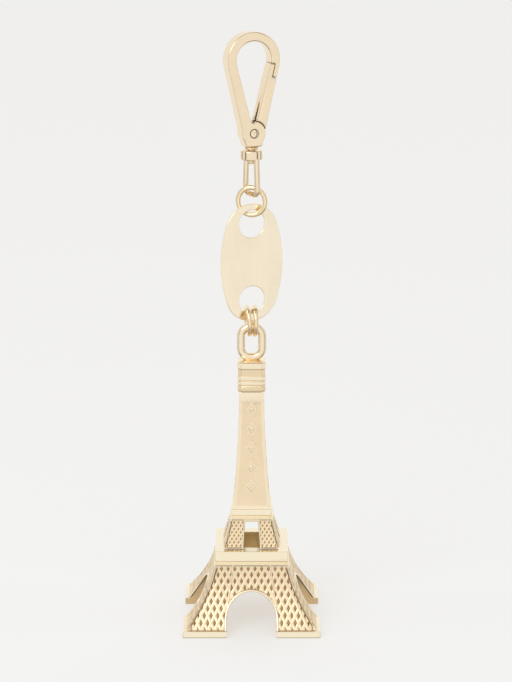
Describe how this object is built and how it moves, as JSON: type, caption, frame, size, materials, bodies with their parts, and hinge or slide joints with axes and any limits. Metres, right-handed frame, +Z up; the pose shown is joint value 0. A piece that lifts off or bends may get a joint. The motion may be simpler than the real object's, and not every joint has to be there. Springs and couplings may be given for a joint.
{
  "type": "keychain charm with trigger hook",
  "caption": "Pale gold bag charm: a swivelling trigger hook with a sprung gate, jump rings, a holed oval tag and a lattice tower that stands on its feet.",
  "frame": {"origin": "Middle of the hook's inner bow, on its thickness, where the charm hangs", "axes": "+Z up along the hanging chain, +X to the right and -Y to the front of the tower"},
  "size_m": [0.047, 0.047, 0.2036],
  "materials": {
    "hook_gold": "polished pale gold plating on die-cast zinc",
    "ring_gold": "polished pale gold plating on steel wire",
    "tag_gold": "satin pale gold plating on sheet metal",
    "tower_gold": "pale gold plating over cast relief, polished edges and matte hollows",
    "spring_steel": "drawn spring wire"
  },
  "bodies": {
    "hook": {"hook_body": "hook_gold", "gate_rivet": "hook_gold", "gate_spring": "spring_steel", "swivel_pin": "hook_gold"},
    "gate": {"gate": "hook_gold"},
    "swivel": {"swivel_eye": "hook_gold"},
    "upper_ring": {"upper_ring": "ring_gold"},
    "tag": {"oval_tag": "tag_gold"},
    "lower_rings": {"lower_ring_left": "ring_gold", "lower_ring_right": "ring_gold"},
    "tower": {"tower": "tower_gold"}
  },
  "joints": [
    {"name": "gate_pivot", "type": "hinge", "parent": "hook", "child": "gate", "pos_m": [0, 0, -0.0243], "axis": [0.3907, -0.9205, 0], "range_deg": [0, 24], "stiffness_Nm_per_rad": 0.02, "springref_deg": -20.05},
    {"name": "swivel_turn", "type": "hinge", "parent": "hook", "child": "swivel", "pos_m": [0, 0, -0.03325], "axis": [0, 0, 1], "continuous": true},
    {"name": "upper_ring_swing", "type": "hinge", "parent": "swivel", "child": "upper_ring", "pos_m": [0, 0, -0.04495], "axis": [0.5299, -0.848, 0], "range_deg": [-30, 30]},
    {"name": "tag_swing", "type": "hinge", "parent": "upper_ring", "child": "tag", "pos_m": [0, 0, -0.05205], "axis": [0.9703, -0.2419, 0], "range_deg": [-25, 25]},
    {"name": "lower_rings_swing", "type": "hinge", "parent": "tag", "child": "lower_rings", "pos_m": [0, 0, -0.08725], "axis": [0.9135, 0.4067, 0], "range_deg": [-50, 50]},
    {"name": "tower_swing", "type": "hinge", "parent": "lower_rings", "child": "tower", "pos_m": [0, 0, -0.09075], "axis": [1, 0, 0], "range_deg": [-60, 60]}
  ]
}
